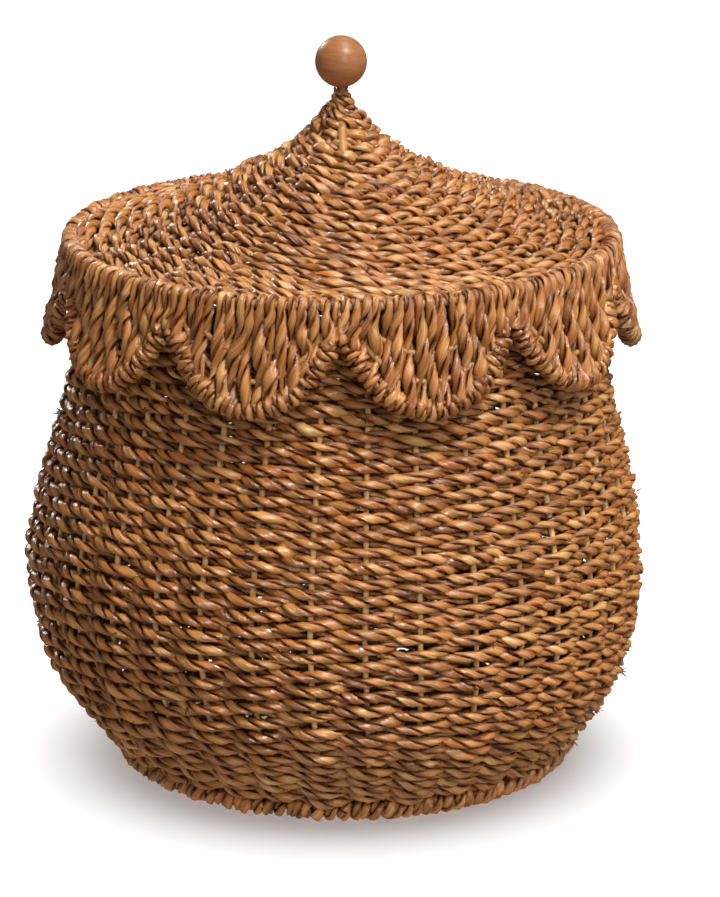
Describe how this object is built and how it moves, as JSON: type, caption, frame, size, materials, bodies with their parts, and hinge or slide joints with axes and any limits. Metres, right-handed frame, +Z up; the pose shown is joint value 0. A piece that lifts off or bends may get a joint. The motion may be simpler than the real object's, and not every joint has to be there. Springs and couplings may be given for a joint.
{
  "type": "lidded woven storage basket",
  "caption": "Round bellied woven rush basket on cane stakes, with a tent-shaped lift-off lid, a scalloped valance and a turned wooden ball knob.",
  "frame": {"origin": "centre of the foot border's underside, on the floor and on the basket's axis", "axes": "+Z up along the basket's axis; -Y is the front, where a notch between two scallops faces; +X to the right seen from the front"},
  "size_m": [0.385, 0.385, 0.4583],
  "materials": {
    "rush_cord": "satin",
    "cane": "satin",
    "knob_wood": "satin",
    "plug_wood": "satin"
  },
  "bodies": {
    "basket": {"base_disc": "rush_cord", "base_sticks": "cane", "foot_hoop": "cane", "foot_border": "rush_cord", "stakes": "cane", "body_weave": "rush_cord", "mouth_hoop": "cane", "mouth_border": "rush_cord"},
    "lid": {"lid_weave": "rush_cord", "lid_spokes": "cane", "lid_hoop": "cane", "lid_rim_border": "rush_cord", "neck_binding": "rush_cord", "knob_peg": "cane", "knob_ball": "knob_wood", "knob_plug": "plug_wood", "scallop_01": "rush_cord", "scallop_02": "rush_cord", "scallop_03": "rush_cord", "scallop_04": "rush_cord", "scallop_05": "rush_cord", "scallop_06": "rush_cord", "scallop_07": "rush_cord", "scallop_08": "rush_cord", "scallop_09": "rush_cord", "scallop_10": "rush_cord", "scallop_edge_01": "cane", "scallop_edge_02": "cane", "scallop_edge_03": "cane", "scallop_edge_04": "cane", "scallop_edge_05": "cane", "scallop_edge_06": "cane", "scallop_edge_07": "cane", "scallop_edge_08": "cane", "scallop_edge_09": "cane", "scallop_edge_10": "cane", "scallop_ribs_01": "cane", "scallop_ribs_02": "cane", "scallop_ribs_03": "cane", "scallop_ribs_04": "cane", "scallop_ribs_05": "cane", "scallop_ribs_06": "cane", "scallop_ribs_07": "cane", "scallop_ribs_08": "cane", "scallop_ribs_09": "cane", "scallop_ribs_10": "cane"}
  },
  "joints": [
    {"name": "lid_lift", "type": "slide", "parent": "basket", "child": "lid", "axis": [0, 0, 1], "range_m": [0, 0.15]}
  ]
}
